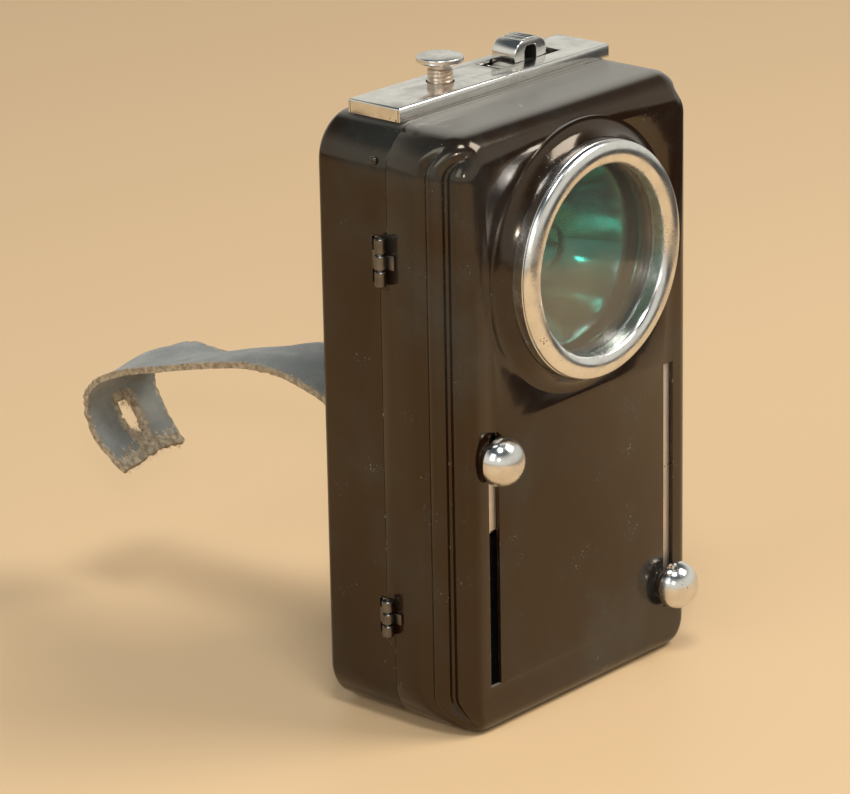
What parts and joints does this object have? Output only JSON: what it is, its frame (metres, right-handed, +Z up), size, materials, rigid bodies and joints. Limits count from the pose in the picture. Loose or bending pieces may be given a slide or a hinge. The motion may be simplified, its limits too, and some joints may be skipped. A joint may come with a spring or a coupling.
{
  "type": "pocket signal torch",
  "caption": "Flat-battery pocket signal torch with hinged cover, sliding green and red filters, push button, slide switch and a buttonhole strap.",
  "frame": {"origin": "middle of the flat base that the torch stands on, half way between its front face and its rear wall", "axes": "+X to the torch's left-hand side as it shines, that is to the right when the lens is faced; +Y from the lens to the rear wall; +Z up, from the base to the switch plate"},
  "size_m": [0.0729, 0.1137, 0.1229],
  "materials": {
    "case_lacquer": "glossy stoved black lacquer, chipped at edges",
    "chrome_plate": "bright chrome, lightly pitted",
    "contact_brass": "dull",
    "spring_steel": "satin",
    "reflector_silver": "polished",
    "board_fibre": "matt vulcanised fibre",
    "lens_clear": "dusty",
    "filter_green": "dyed sheet",
    "filter_red": "dyed sheet",
    "battery_card": "printed card",
    "strap_cloth": "worn leathercloth with frayed edges"
  },
  "bodies": {
    "case": {"rear_case": "case_lacquer", "lamp_board": "board_fibre", "bulb_socket": "contact_brass", "reflector": "reflector_silver", "bulb_base": "contact_brass", "bulb_glass": "lens_clear", "contact_rail": "contact_brass", "bulb_contact_leaf": "contact_brass", "rail_rivet_left": "contact_brass", "rail_rivet_right": "contact_brass", "battery_case": "battery_card", "battery_short_strip": "contact_brass", "battery_long_strip": "contact_brass", "switch_plate": "chrome_plate", "button_spring": "spring_steel", "hinge_tray_upper": "case_lacquer", "hinge_pin_upper": "spring_steel", "hinge_tray_lower": "case_lacquer", "hinge_pin_lower": "spring_steel", "catch_spring": "spring_steel", "case_rivet_left": "case_lacquer", "case_rivet_right": "case_lacquer", "strap": "strap_cloth", "strap_plate": "spring_steel", "strap_rivet_left": "spring_steel", "strap_rivet_right": "spring_steel"},
    "cover": {"front_cover": "case_lacquer", "hinge_cover_upper": "case_lacquer", "hinge_cover_lower": "case_lacquer", "lens_ring": "chrome_plate", "lens_glass": "lens_clear", "lens_retainer": "spring_steel", "filter_guide_left": "spring_steel", "filter_guide_right": "spring_steel", "filter_back_plate": "spring_steel"},
    "green_slide": {"green_carrier": "chrome_plate", "green_filter": "filter_green", "green_knob": "chrome_plate", "green_knob_washer": "contact_brass"},
    "red_slide": {"red_carrier": "chrome_plate", "red_filter": "filter_red", "red_knob": "chrome_plate", "red_knob_washer": "contact_brass"},
    "button": {"push_button": "chrome_plate", "button_collar": "spring_steel"},
    "slider": {"switch_slider": "chrome_plate", "slider_contact": "contact_brass"}
  },
  "joints": [
    {"name": "cover_hinge", "type": "hinge", "parent": "case", "child": "cover", "pos_m": [-0.03616, 0.0005, 0], "axis": [0, 0, -1], "range_deg": [0, 115]},
    {"name": "green_filter_slide", "type": "slide", "parent": "cover", "child": "green_slide", "axis": [0, 0, 1], "range_m": [-0.037, 0.0015]},
    {"name": "red_filter_slide", "type": "slide", "parent": "cover", "child": "red_slide", "axis": [0, 0, 1], "range_m": [0, 0.0399]},
    {"name": "button_press", "type": "slide", "parent": "case", "child": "button", "axis": [0, 0, -1], "range_m": [0, 0.0016], "stiffness_N_per_m": 400, "springref_m": -0.0008, "deforming": ["button_spring"]},
    {"name": "switch_slide", "type": "slide", "parent": "case", "child": "slider", "axis": [1, 0, 0], "range_m": [-0.0036, 0.0036]}
  ]
}
